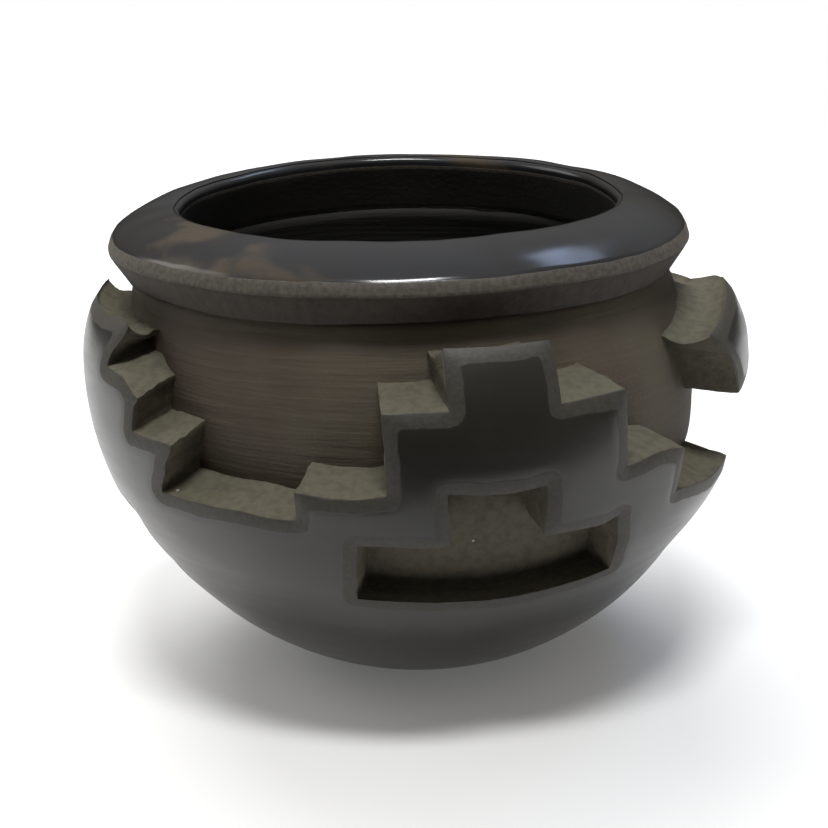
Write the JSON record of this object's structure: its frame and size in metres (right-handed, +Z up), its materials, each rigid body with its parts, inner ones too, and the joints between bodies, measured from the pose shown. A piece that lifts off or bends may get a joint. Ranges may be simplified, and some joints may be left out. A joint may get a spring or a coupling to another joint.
{
  "type": "carved black clay pot",
  "caption": "Round thick-walled black clay pot with a heavy turned-out rim, a recessed scraped neck, raised stepped blocks and stepped niches on a burnished belly.",
  "frame": {"origin": "centre of the flat foot, on the surface that the pot stands on", "axes": "+Z up along the pot's axis, -Y towards the front, where the front stepped block and its niche are 13 degrees towards +X"},
  "size_m": [0.1786, 0.1786, 0.1243],
  "materials": {
    "burnished_black_clay": "burnished before firing, satin to glossy",
    "scraped_black_clay": "scraped and left matt"
  },
  "bodies": {
    "root": {"base_disc": "burnished_black_clay", "moulded_bowl": "burnished_black_clay", "belly_coil": "burnished_black_clay", "neck_coil_lower": "scraped_black_clay", "neck_coil_middle": "scraped_black_clay", "neck_coil_upper": "scraped_black_clay", "rim_coil": "burnished_black_clay", "front_step_pyramid": "burnished_black_clay", "left_step_pyramid": "burnished_black_clay", "back_step_pyramid": "burnished_black_clay", "right_raised_bar": "burnished_black_clay"}
  },
  "joints": []
}
